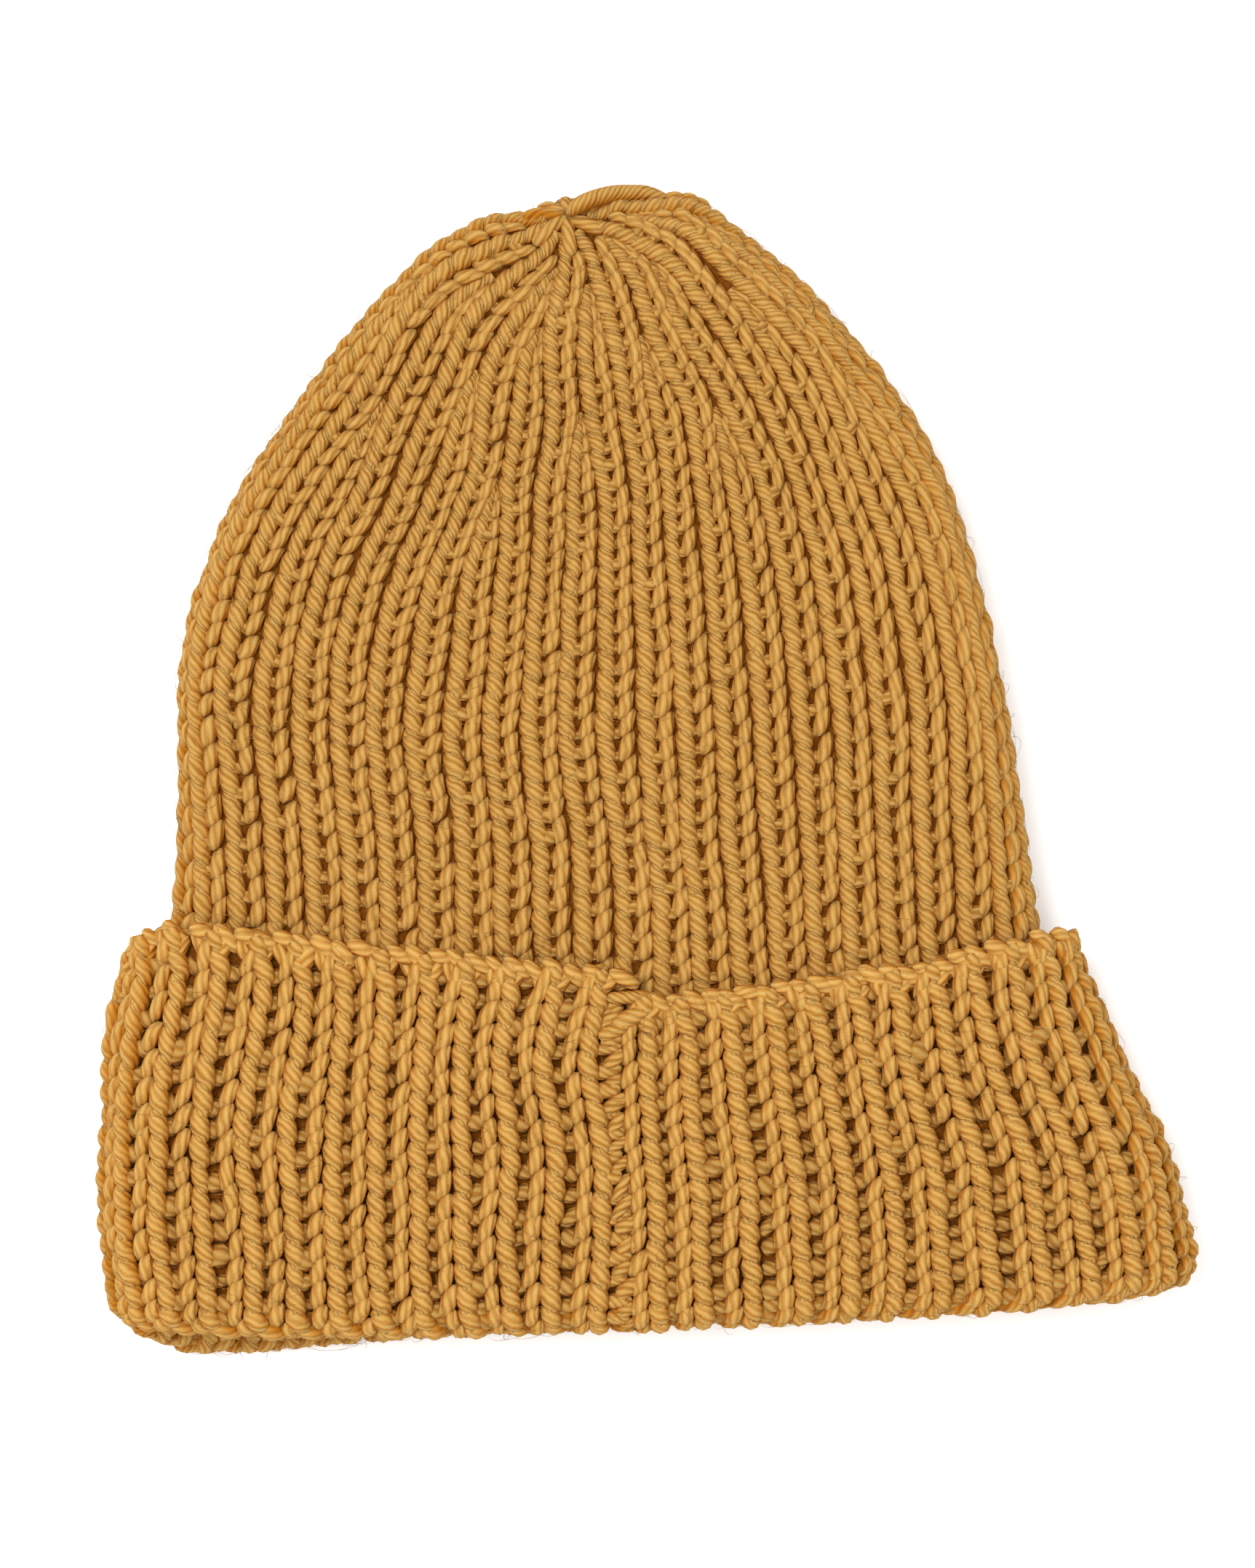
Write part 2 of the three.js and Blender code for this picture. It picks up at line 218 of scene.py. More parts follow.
class Value:
    """A shader's output. Sums, products and powers of values add the Math nodes that work them out."""

    def __init__(self, finish, node, output):
        self.finish, self.node, self.output = finish, node, output

    def out(self, name):
        """Another output of the same node."""
        return Value(self.finish, self.node, self.node.outputs[name])

    def math(self, operation, *values):
        """One Math node's operation on values or numbers."""
        return self.finish.node("ShaderNodeMath", {"operation": operation}, dict(enumerate(values)))

    def __add__(self, other):
        return self.math("ADD", self, other)

    def __sub__(self, other):
        return self.math("SUBTRACT", self, other)

    def __rsub__(self, other):
        return self.math("SUBTRACT", other, self)

    def __mul__(self, other):
        return self.math("MULTIPLY", self, other)

    def __pow__(self, other):
        return self.math("POWER", self, other)

    def __abs__(self):
        return self.math("ABSOLUTE", self)

    __radd__ = __add__
    __rmul__ = __mul__


class Finish:
    """A material whose nodes all come from one method."""

    def __init__(self, name):
        self.material = bpy.data.materials.new(name)
        self.material.use_nodes = True
        self.tree = self.material.node_tree
        self.tree.nodes.clear()

    def node(self, kind, settings, sockets, output=0):
        """Adds a node of a type, sets its settings and then its sockets, which take a number, a colour or a
        Value, and gives one of its outputs."""
        made = self.tree.nodes.new(kind)
        for key, setting in settings.items():
            setattr(made, key, setting)
        for key, value in sockets.items():
            if isinstance(value, Value):
                self.tree.links.new(value.output, made.inputs[key])
            else:
                made.inputs[key].default_value = value
        return Value(self, made, made.outputs[output] if made.outputs else None)

    def blend(self, share, first, second, how="MIX"):
        """The first colour at share 0 and the second, or the two multiplied, at share 1."""
        settings = {"data_type": "RGBA", "blend_type": how}
        return self.node("ShaderNodeMix", settings, {0: share, 6: first, 7: second}, output=2)

    def noise(self, place, scale, detail):
        """A smooth noise between 0 and 1, with finer ones added to it."""
        return self.node("ShaderNodeTexNoise", {}, {"Vector": place, "Scale": scale, "Detail": detail})

    def woolly(self, tint, height, depth):
        """Ends the material as dull wool of a colour, with a relief that is so many millimetres deep for a
        height of 1."""
        bump = {"Strength": 0.9, "Distance": depth * MM, "Height": height}
        relief = self.node("ShaderNodeBump", {}, bump)
        dull = {"Base Color": tint, "Normal": relief, **WOOL_SHINE}
        surface = self.node("ShaderNodeBsdfPrincipled", {}, dull)
        self.node("ShaderNodeOutputMaterial", {}, {"Surface": surface})
        return self.material


MUSTARD = np.array([0.575, 0.365, 0.111])  # the wool's colour on the crests of its plies
PAINTED_GROOVE_SHADE = np.array([0.80, 0.44, 0.04])  # painted shade: share of that colour left between the plies, where shade falls in the grooves
PAINTED_FLANK_SHADE = np.array([0.78, 0.48, 0.07])  # painted shade: share left on a strand's sides, which turn from the light where it meets its neighbours
PAINTED_FELT_SHADE = np.array([0.22, 0.095, 0.015])  # painted shade: share left on the fabric's body, which is seen only in the shadowed holes between stitches
SHADED_HAIR = np.array([0.54, 0.30, 0.06])  # painted shade: share left on the loose hairs over that body
PALER, DEEPER = [1.04, 1.06, 1.12], [0.93, 0.89, 0.82]  # the dye's lightest and darkest patches
WOOL_SHINE = {"Roughness": 0.8, "Specular IOR Level": 0.04, "Sheen Weight": 0.1, "Sheen Roughness": 0.5,
              "Sheen Tint": (0.95, 0.72, 0.35, 1)}
FELT_RELIEF = 0.8  # millimetres up to a ridge of the felted body, about


def colour(values):
    """Red, green and blue as a socket takes them, with an alpha of 1."""
    return (*(float(value) for value in values), 1.0)


def dyed(finish, share):
    """The wool's colour times a share, lighter and darker in soft patches of about a centimetre, as the dye
    has taken, and the place on the hat."""
    place = finish.node("ShaderNodeTexCoord", {}, {}).out("Object")
    pale, deep = MUSTARD * share * PALER, MUSTARD * share * DEEPER
    return finish.blend(finish.noise(place, 90.0, 3.0), colour(deep), colour(pale)), place


def felted(name):
    """The fabric's body behind the stitches: wool darkened by painted shade for the holes between stitches,
    ridged level with the rows of stitches, with paler hairs across it, also in painted shade, by twice the
    fourth power of a fine noise."""
    finish = Finish(name)
    deep, place = dyed(finish, PAINTED_FELT_SHADE)
    pale, _ = dyed(finish, SHADED_HAIR)
    fibres = finish.noise(place, 1100.0, 4.0)
    tint = finish.blend(fibres ** 4.0 * 2.0, deep, pale)
    ridges = {"Vector": place, "Scale": 74.0, "Distortion": 2.5, "Detail": 2.0, "Detail Scale": 2.0}
    rows = finish.node("ShaderNodeTexWave", {"bands_direction": "Y"}, ridges)
    return finish.woolly(tint, rows + fibres * 0.5, FELT_RELIEF)


FELT_UNDER = 2.1  # the felted body lies this far under the tops of the stitches
HOLLOW_STARTS = 17.0  # nearer the gather the wall is closed

WALL_SIDES = 192
wall_around = np.linspace(0, 2, WALL_SIDES, endpoint=False)
outside = np.concatenate([np.linspace(GATHER + 1, 22, 12), np.linspace(26, JOIN - 1, 44)])
inside = np.linspace(JOIN - 1, HOLLOW_STARTS, 40)
crown_wall = skin("crown_wall", [on_tube(down, wall_around, -FELT_UNDER)[0] for down in outside]
                  + [on_tube(down, wall_around, -WALL)[0] for down in inside])
# Its felt colour is painted shade for the holes between the stitches.
crown_wall.data.materials.append(felted("crown_felt_shade"))
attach(crown_wall, "root")
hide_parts("crown")

# Crown stitches
# Plain knitting in thick wool of many plies. On the right side each stitch shows two legs: the left legs run
# into one another as a rope up the column, and the right legs stand one over another as slanted ovals.
CROWN_ROW = 4.0  # height of a row of the crown, low down
ROWS_SHRINK = {"from": 60.0, "by": 0.00032}  # further up they get lower towards the gather
COLUMN = 6.95  # width of a column
COLUMNS = 48
CROWN_START = 152.0  # the lowest stitches that are made, just under the brim's edge
COLUMN_SHIFT = 0.2  # how far the columns are shifted round from the left fold, in columns
ROPE_RADIUS = 1.72
ROPE_PLIES = 8
PLIES_PER_ROW = 4  # plies that pass along a rope in one row, the last with a deeper groove between two legs
OVAL_RADIUS = 1.47
OVAL_PLIES = 7
LEG_OFFSET = 1.74  # a leg's distance from its column's middle
# Low down, where a head has been, the legs stand up to this much further apart, most in the open columns.
PARTED = {"by": 0.25, "until": 85.0}
ROW_DRIFT = 0.28  # how far a column's rows stray from level, in rows
SWAY = {"every": 17.0, "crown": 0.35, "brim": 0.6}  # how far columns wander sideways, and over what length
# Columns still there at each distance from the gather, as the crown is decreased
DECREASE = np.array([[12, 14], [20, 22], [26, 28], [36, 35], [48, 42], [58, 48]], float)
DECREASE_FADE = {"before": 15.0, "after": 9.0}  # an ending column narrows over these lengths round its end
ENDING = {"closes": 0.35, "sinks": 1.2, "thins": 0.8}  # its legs close up and thin to these shares, and sink
TUCKED = 4.5  # its last stitches go on this far under its neighbours
OVALS_END = 9.0  # nearer the gather only the ropes are seen
rng = np.random.default_rng(11)
SWAY_VALUES = rng.normal(0, 1.3, (62, 12))
SWAY_VALUES = (SWAY_VALUES[:-2] + 2 * SWAY_VALUES[1:-1] + SWAY_VALUES[2:]) / 3  # neighbours wander together
OPENNESS = rng.uniform(0.0, 1.0, COLUMNS)  # some columns are stretched open and others stay shut
PLY_RELIEF = 0.34  # millimetres from a groove up to a ply's crest, about
LEG_GROOVE = 0.42  # how much deeper the groove between two legs of a rope is, against a ply's height, in the relief and in its painted shade
FLANK_SHADE_POWER = 2.4  # how sharply the painted shade darkens a strand towards its sides


def wool(name, plies, share):
    """Wool spun of plies. The Yarn map gives how many plies have passed along the yarn, and the share around
    it. A ply's height is half the sum of c and its square, where c is one less the square of the distance
    from its crest, less the sixth power of the distance from a leg's middle. Low places get painted shade,
    darker and redder, and so do the strand's sides, by a power of the cosine of the angle from its side."""
    finish = Finish(name)
    tint, place = dyed(finish, share)
    yarn_map = finish.node("ShaderNodeUVMap", {"uv_map": "Yarn"}, {})
    along = finish.node("ShaderNodeSeparateXYZ", {}, {"Vector": yarn_map})
    around = along.out("Y")
    wandering = finish.noise(place, 260.0, 1.0) * 0.9  # plies don't run quite evenly round the yarn
    phase = around * float(plies) + along + wandering
    from_crest = abs(phase.math("FRACT", phase) * 2.0 - 1.0)
    leg = abs(phase.math("FRACT", phase * (1 / PLIES_PER_ROW)) * 2.0 - 1.0) ** 6.0
    crest = 1.0 - from_crest ** 2.0
    ply = crest * (crest * 0.5 + 0.5) - leg * LEG_GROOVE
    # Fibres lie along the plies: the noise is stretched that way, and fine across it.
    streaks = finish.node("ShaderNodeCombineXYZ", {}, {"X": phase * 3.0, "Y": along * 0.6 - around * 2.0})
    fibres = finish.noise(streaks, 2.2, 4.0)
    fuzz = finish.noise(place, 2600.0, 2.0)
    # Painted shade: the grooves between the plies are darkened and reddened in the colour.
    groove_shade_tint = finish.blend(1.0, tint, colour(PAINTED_GROOVE_SHADE), "MULTIPLY")
    groove_shaded = finish.blend(ply * 0.55 + fibres * 0.45 + fuzz * 0.3 - 0.05, groove_shade_tint, tint)
    # Painted shade on the strand's sides, which turn away from the light.
    flank_shade = abs(around.math("COSINE", around * (2 * np.pi))) ** FLANK_SHADE_POWER
    sides = finish.blend(flank_shade, groove_shaded, colour(PAINTED_FLANK_SHADE), "MULTIPLY")
    return finish.woolly(sides, ply + fibres * 0.5 + fuzz * 0.4, PLY_RELIEF)


def strands(name, path, up, radius, plies, sides):
    """Round yarn carried along each row of path points, with closed ends. up is the fabric's outward
    direction at each point, and plies counts the plies that have passed up to it."""
    count, length, _ = path.shape
    along = unit(np.gradient(path, axis=1))
    side = unit(np.cross(along, up))
    top = np.cross(side, along)
    angle = np.linspace(0, 2 * np.pi, sides, endpoint=False)[:, None]
    ring = np.cos(angle) * side[:, :, None] + np.sin(angle) * top[:, :, None]
    points = path[:, :, None] + radius[..., None, None] * ring
    points[..., 2] = np.maximum(points[..., 2], 0)  # pressed flat where the hat rests on the floor
    index = np.arange(count * length * sides).reshape(count, length, sides)
    near, far = index[:, :-1], index[:, 1:]
    quads = np.stack([near, np.roll(near, -1, 2), np.roll(far, -1, 2), far], -1).reshape(-1, 4)
    caps = np.concatenate([index[:, 0, ::-1], index[:, -1]])
    start = np.arange(sides) / sides
    end = start + 1 / sides
    passed, next_passed = plies[:, :-1, None], plies[:, 1:, None]
    corners = [(passed, start), (passed, end), (next_passed, end), (next_passed, start)]
    quad_map = np.stack([np.stack(np.broadcast_arrays(*corner), -1) for corner in corners], -2).reshape(-1, 2)
    cap_corners = [(plies[:, :1], start[::-1]), (plies[:, -1:], start)]
    cap_map = np.concatenate([np.stack(np.broadcast_arrays(*corner), -1) for corner in cap_corners])
    cap_map = cap_map.reshape(-1, 2)
    return make_mesh(name, points.reshape(-1, 3), quads, caps, np.concatenate([quad_map, cap_map]))


GOLDEN = 0.618034


def column_borders():
    """Where each column ends, and on each ring its left side, its width and a full column's width, as shares
    around. The columns that end are scattered evenly round the crown, by the golden ratio, and each narrows
    to nothing over the fade."""
    rank = np.argsort(np.argsort(np.mod(np.arange(COLUMNS) * GOLDEN, 1)))
    end = np.interp(rank + 1, DECREASE[:, 1], DECREASE[:, 0], left=0)
    end = np.where(rank < DECREASE[0, 1], 0, end)
    fading = smooth(GRID_DOWN[:, None], end - DECREASE_FADE["after"], end + DECREASE_FADE["before"])
    width = np.where(end > 0, fading, 1.0)
    right = np.cumsum(width, axis=1)
    total = right[:, -1:]
    return end, 2 * (right - width) / total, 2 * width / total, np.repeat(2 / total, COLUMNS, axis=1)


COLUMN_END, COLUMN_LEFT, COLUMN_WIDTH, FULL_WIDTH = column_borders()


def sway(count, along, index):
    """How far a column wanders sideways: a smooth random line of its own through a value every so often."""
    values = SWAY_VALUES[:count]
    i, share = between(along / SWAY["every"], values.shape[1])
    share = smooth(share, 0, 1)
    return values[index, i] * (1 - share) + values[index, i + 1] * share


def in_crown(column, up, across, out):
    """A place in a column of the crown, up from the first stitches and across from the column's middle, drawn
    together as the column is. Gives the place, the outward normal and the yarn's size as a share."""
    column, up, across, out = np.broadcast_arrays(column, up, across, out)
    down = CROWN_START - up
    i, share = between(down - GRID_DOWN[0], len(GRID_DOWN))
    left, width, full = (table[i, column] * (1 - share) + table[i + 1, column] * share
                         for table in (COLUMN_LEFT, COLUMN_WIDTH, FULL_WIDTH))
    middle = left + width / 2 + COLUMN_SHIFT * 2 / COLUMNS
    per_share = np.linalg.norm(on_grid(SLOPE_AROUND, down, middle), axis=-1)
    drawn = full * per_share / COLUMN
    narrow = width / full
    closed = ENDING["closes"] + (1 - ENDING["closes"]) * narrow
    sideways = across * drawn * closed + SWAY["crown"] * drawn * sway(COLUMNS, up, column)
    place, normal = on_tube(down, middle + sideways / per_share, out - ENDING["sinks"] * (1 - narrow) ** 2)
    return place, normal, np.clip(drawn, 0.84, 1.04) * (ENDING["thins"] + (1 - ENDING["thins"]) * narrow)


def crown_rows(up):
    """Rows passed at a height up the crown: an even number for each millimetre, and a little more by the
    square of the height past a point."""
    return up / CROWN_ROW + ROWS_SHRINK["by"] * np.maximum(up - ROWS_SHRINK["from"], 0) ** 2


def crown_row_height(up):
    """Height of a row at a height up the crown, which is one over the slope of the rows passed."""
    return 1 / (1 / CROWN_ROW + 2 * ROWS_SHRINK["by"] * np.maximum(up - ROWS_SHRINK["from"], 0))


def legs_apart(column, up):
    """A leg's distance from its column's middle. It is more in a column that is stretched open, by less and
    less up the crown."""
    return LEG_OFFSET + PARTED["by"] * OPENNESS[column] * (1 - smooth(up, 0, PARTED["until"]))


def wander(count, row):
    """A smooth random value for each of count strands, new at each row and blended between rows."""
    rows = int(np.ceil(row.max())) + 3
    values = rng.normal(0, 1, (count, rows))
    i, share = between(row + 0.5, rows)
    share = smooth(share, 0, 1)
    strand = np.arange(count)[:, None]
    return values[strand, i] * (1 - share) + values[strand, i + 1] * share


OVAL_LEAN = 29  # degrees from the column's line
OVAL_REACH = 0.79  # half an oval's length, in rows
# How unevenly the yarn lies: the spread of each measure, in millimetres, but of the lean in degrees and of
# the twist and the reach in rows. thick is a share of the radius.
ROPE_UNEVEN = {"across": 0.13, "out": 0.12, "radius": 0.06, "twist": 0.06}
OVAL_UNEVEN = {"across": 0.13, "along": 0.2, "out": 0.12, "lean": 5, "reach": 0.046, "radius": 0.07}
BAR_UNEVEN = {"along": 0.25, "slant": 0.15, "deep": 0.25, "thick": 0.1}


def ropes(name, place, columns, along, row, offset, bowed, sides):
    """The left legs of columns of stitches, each column's run together as one rope. Its line bows by a sine
    and swells by another, once a row each, and its plies lie flatter at a stitch's top than lower down."""
    count = len(columns)
    swing, lift, turn = wander(count, row), wander(count, row), wander(count, row)
    bow = np.sin(2 * np.pi * row) + 0.35 * np.sin(4 * np.pi * row)
    swell = bowed * np.sin(2 * np.pi * (row - 0.25))
    across = -offset + bowed * bow + ROPE_UNEVEN["across"] * swing
    out = -ROPE_RADIUS + 0.6 * swell + ROPE_UNEVEN["out"] * lift
    path, up, size = place(columns[:, None], along, across, out)
    radius = (ROPE_RADIUS + 0.35 * swell + ROPE_UNEVEN["radius"] * lift) * size
    plies = -PLIES_PER_ROW * (row + 0.03 * np.sin(2 * np.pi * (row - 0.95)) + ROPE_UNEVEN["twist"] * turn)
    return strands(name, path, up, radius, plies, sides)


def ovals(name, place, column, along, tall, offset, steps, sides):
    """The right legs, one for each stitch: a short slanted length of yarn like a grain. Its ends dip behind
    its neighbours and taper, by powers of the distance from its middle. tall is the height of its row."""
    count = len(column)
    q = np.linspace(-1, 1, steps)  # from one end of each length to the other
    jitter = rng.normal(0, 1, (count, 6, 1))
    lean = np.radians(OVAL_LEAN + OVAL_UNEVEN["lean"] * jitter[:, 2])
    half = tall * (OVAL_REACH + OVAL_UNEVEN["reach"] * jitter[:, 3])
    across = offset + OVAL_UNEVEN["across"] * jitter[:, 0]
    across = across + 0.85 * half * q * np.sin(lean) - 0.18 * np.sin(np.pi * q)
    up_row = along[:, None] + OVAL_UNEVEN["along"] * jitter[:, 1] + half * q * np.cos(lean)
    out = -OVAL_RADIUS + 0.08 - 1.5 * np.abs(q) ** 2.6 - 0.3 * q + OVAL_UNEVEN["out"] * jitter[:, 4]
    path, up, size = place(column[:, None], up_row, across, out)
    radius = OVAL_RADIUS + OVAL_UNEVEN["radius"] * jitter[:, 5]
    radius = radius * size * np.clip(1 - np.abs(q) ** 2.5, 0.004, 1) ** 0.55
    plies = rng.random((count, 1)) - 0.4 * half * (q + 1)
    return strands(name, path, up, radius, plies, sides)


def bars(name, place, column, along, across, half, radius, slant, deep, steps, sides):
    """Short lengths of yarn lying across the columns, seen in the holes between the legs and between ribs.
    Each reaches half to both sides, and its ends dip and taper by the fourth power of the distance from its
    middle."""
    count = len(column)
    q = np.linspace(-1, 1, steps)  # from one end of each length to the other
    jitter = rng.normal(0, 1, (count, 4, 1))
    lean = slant + BAR_UNEVEN["slant"] * jitter[:, 1]
    at = along[:, None] + BAR_UNEVEN["along"] * jitter[:, 0] + lean * q
    out = -deep + BAR_UNEVEN["deep"] * jitter[:, 2] - 0.7 * q ** 4
    path, up, _ = place(column[:, None], at, across + half * q, out)
    thick = radius * (1 + BAR_UNEVEN["thick"] * jitter[:, 3]) * np.sqrt(np.clip(1 - np.abs(q) ** 4, 0.01, 1))
    plies = rng.random((count, 1)) + 0.7 * half * (q + 1)
    return strands(name, path, up, thick, plies, sides)


def crown_cells(columns):
    """Column and height of each stitch of the crown, up to where its column ends or meets the gather."""
    rows = np.arange(0.5, crown_rows(CROWN_START - GATHER) - 0.8)
    column, row = (grid.ravel() for grid in np.meshgrid(columns, rows, indexing="ij"))
    heights = np.arange(0, CROWN_START, 0.5)
    up = np.interp(row + ROW_DRIFT * SWAY_VALUES[column, 0], crown_rows(heights), heights)
    there = CROWN_START - up > np.maximum(COLUMN_END[column] - TUCKED, OVALS_END)
    return column[there], up[there]


CROWN_SIDES = {
    "front": {"columns": np.arange(COLUMNS // 2), "rope_steps": 250, "rope_sides": 10, "oval": (9, 7)},
    "back": {"columns": np.arange(COLUMNS // 2, COLUMNS), "rope_steps": 170, "rope_sides": 8, "oval": (7, 6)},
}
rope_wool = wool("crown_rope_wool", ROPE_PLIES, share=0.92)
oval_wool = wool("crown_oval_wool", OVAL_PLIES, share=0.92)
# The bars' lower share of the colour is painted shade, as they lie deep in the holes between the legs.
shaded_bar_wool = wool("crown_shaded_bar_wool", OVAL_PLIES, share=0.86)


def worn(piece, material):
    """Gives a piece its wool and its place on the hat."""
    piece.data.materials.append(material)
    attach(piece, "root")
    return piece


for side, parts in CROWN_SIDES.items():
    columns = parts["columns"]
    last = CROWN_START - np.maximum(COLUMN_END[columns] - TUCKED, GATHER)
    along = np.linspace(0, 1, parts["rope_steps"]) * last[:, None]
    apart = legs_apart(columns[:, None], along)
    legs = ropes("crown_ropes_" + side, in_crown, columns, along, crown_rows(along), apart, bowed=0.22,
                 sides=parts["rope_sides"])
    worn(legs, rope_wool)
    column, height = crown_cells(columns)
    apart, tall = legs_apart(column, height)[:, None], crown_row_height(height)
    legs = ovals("crown_ovals_" + side, in_crown, column, height, tall[:, None], apart, *parts["oval"])
    worn(legs, oval_wool)
    behind = bars("crown_bars_" + side, in_crown, column, height - 0.35 * tall, across=-0.1, half=1.8,
                  radius=1.42, slant=0.3, deep=2.0, steps=4, sides=6)
    worn(behind, shaded_bar_wool)

# Brim wall
# The ribbed lower part of the tube is turned up outwards, so the brim is double and has a rolled fold at the
# bottom. Its wall is the felted body of that fabric, sunk between the ribs.
LAYER_GAP = 0.3  # clearance between the brim's layers
SIDE_FLARE = {"left": 3.4, "right": 1.9}  # how far the turned-up layer stands off the crown at its sides
FLARE = {"starts": 150.0, "ends": 178.0}  # it eases off between these lines
TURN_RADIUS = WALL + LAYER_GAP / 2
TURN_STARTS = FOLD - CAST_ON  # millimetres from the cast-on edge, down the outside, to the fold
TURN_ENDS = TURN_STARTS + np.pi * TURN_RADIUS
BRIM_ENDS = TURN_ENDS + FOLD - JOIN
SEAM_AT = {"middle": 0.509, "cast_on": 0.531, "fold": 0.487, "step": 0.506}  # the sewn seam, as shares around
EDGE_RISE = np.array([  # share around, and how much higher than its even line the cast-on edge starts there
    [0, -1.8], [0.02, 2.4], [0.04, 4.6], [0.07, 5.6], [0.11, 5.4], [0.179, 5.0], [0.302, 3.5], [0.384, 2.5],
    [0.466, 1.5], [0.505, 0.6], [0.507, -3.5], [0.55, -4.2], [0.604, -3.3], [0.675, -2.1], [0.753, -0.4],
    [0.832, 0.8], [0.909, 3.0], [0.974, 3.4], [1, 0.6], [1.03, -0.6], [1.9, -2.5], [1.97, -4.0], [2, -2.8]])


def seam_shift(down, around):
    """Turns an even share around into the real one, which leans with the seam across the front."""
    seam = SEAM_AT["cast_on"] + (SEAM_AT["fold"] - SEAM_AT["cast_on"]) * (down - CAST_ON) / (FOLD - CAST_ON)
    turn = np.mod(around, 2)
    middle = SEAM_AT["middle"]
    left = turn * seam / middle
    right = seam + (turn - middle) * (1 - seam) / (1 - middle)
    return np.where(turn < middle, left, np.where(turn < 1, right, turn))


def from_edge(along, around):
    """Distance from the even cast-on line of a place that far from the real edge. The difference dies out by
    the fold."""
    rise = np.interp(np.mod(around, 2), EDGE_RISE[:, 0], EDGE_RISE[:, 1])
    return along - rise * (1 - smooth(along, 0, TURN_STARTS))


def on_brim(along, around, sunk):
    """A place on the double brim, along from the cast-on edge down the outside, round the fold and up the
    inside, sunk below its outer face, and the outward normal there."""
    along, around, sunk = np.broadcast_arrays(along, around, sunk)
    turned = np.clip((along - TURN_STARTS) / (TURN_ENDS - TURN_STARTS), 0, 1)
    angle = np.pi * (0.5 - turned)
    radius = TURN_RADIUS - sunk
    down = np.minimum(CAST_ON + along, FOLD) - np.maximum(along - TURN_ENDS, 0) + radius * np.cos(angle)
    out = LAYER_GAP / 2 + radius * np.sin(angle)
    place = seam_shift(np.minimum(down, FOLD), around)
    point, normal = on_tube(down, place, out)
    level = normal * [1, 1, 0]
    stand_off = np.where(level[..., 0] < 0, SIDE_FLARE["left"], SIDE_FLARE["right"])
    stand_off = stand_off * (1 - smooth(down, FLARE["starts"], FLARE["ends"])) * (turned < 0.5)
    downward = unit(on_grid(SLOPE_DOWN, down, place))
    facing = unit(normal * np.sin(angle)[..., None] + downward * np.cos(angle)[..., None])
    return point + level * stand_off[..., None], facing


BRIM_FELT_UNDER = 3.3  # the brim's felted body lies this far under the tops of the ribs
wall_along = np.concatenate([np.linspace(2.0, TURN_STARTS, 26), np.linspace(TURN_STARTS, TURN_ENDS, 10)[1:-1],
                             np.linspace(TURN_ENDS, BRIM_ENDS, 22)])
brim_wall = skin("brim_wall", [on_brim(from_edge(s, wall_around), wall_around, BRIM_FELT_UNDER)[0]
                               for s in wall_along]
                 + [on_brim(from_edge(s, wall_around), wall_around, WALL)[0] for s in wall_along[::-1]],
                 closed_rows=True)
# Its felt colour is painted shade for the valleys between the ribs.
brim_wall.data.materials.append(felted("brim_felt_shade"))
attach(brim_wall, "root")
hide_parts("folded_brim")

# Brim ribs
# Ribbing knitted from the cast-on edge, so its stitches hang upside down: from the left each rib shows its
# ovals and then its rope. Between ribs the yarn crosses in short bars, one a row, at the bottom of a valley.
RIB = 0.0394  # spacing of the ribs, as a share of the front's width
RIBS_RIGHT_OF_SEAM = 0.5232  # the first rib right of the seam
RIB_COUNT = 50
RIB_SPAN = 2 - RIB * 1.37  # from the first rib right of the seam round to the last one left of it
RIB_ROW = 4.3  # height of a row of the ribbing
RIB_STARTS = 1.4
RIB_ENDS = TURN_ENDS + 22
RIB_LEG_OFFSET = 1.72
RIB_YARN = 1.07  # the ribs' yarn against the crown's, as it is less stretched
VALLEY = 4.3  # a valley's middle, across from its rib's middle
RIB_LINES = 60
# How far the ribs lie to the right of even spacing, in millimetres: a row for each distance from the cast-on
# edge, and in it a number for each place around.
DRIFT_AROUND = [-0.4, 0.1, 0.2, 0.32, 0.5, 0.6, 0.7, 0.9, 1.3]
DRIFT_ALONG = np.array([0, 30, 47, 65, 110.0])
DRIFT = np.array([
    [0, -2.3, -2.3, -1.6, -0.9, -2.2, -1.8, -1.8, 0],
    [0, 0.1, -0.2, -0.9, -1.9, -2.2, -1.4, -2.0, 0],
    [0, 4.0, 2.2, 0.6, -1.2, -1.1, -1.1, -0.6, 0],
    [0, 5.8, 3.4, 0.8, -1.0, -1.0, -0.2, -0.2, 0],
    [0, 5.8, 3.4, 0.8, -1.0, -1.0, -0.2, -0.2, 0]])


def brim_stretch(along, around, step=0.01):
    """Millimetres round the brim's outer face for a whole share, from places a small step to both sides."""
    sides = [on_brim(along, around + beside, 0)[0] for beside in (-step, step)]
    return np.linalg.norm(sides[1] - sides[0], axis=-1) / (2 * step)


def rib_lines():
    """Share around of each rib at even steps along: evenly spaced over the fabric, and then drifted."""
    first = DRIFT_AROUND[0]
    shares = np.linspace(RIBS_RIGHT_OF_SEAM, RIBS_RIGHT_OF_SEAM + RIB_SPAN, 1200)
    steps = np.linspace(0, RIB_ENDS, RIB_LINES)
    lines = []
    for along, drift in zip(steps, steady(DRIFT_ALONG, DRIFT, steps)):
        far = travelled(on_brim(along, shares, 0)[0])
        line = np.interp(np.linspace(0, far[-1], RIB_COUNT), far, shares)
        turn = np.mod(line - first, 2) + first
        lines.append(line + np.interp(turn, DRIFT_AROUND, drift) * RIB_SPAN / far[-1])
    return np.array(lines)


RIB_AT = rib_lines()


def rib_at(rib, along):
    """Share around of a rib that far along, blended between its lines."""
    i, share = between(along / RIB_ENDS * (RIB_LINES - 1), RIB_LINES)
    return RIB_AT[i, rib] * (1 - share) + RIB_AT[i + 1, rib] * share


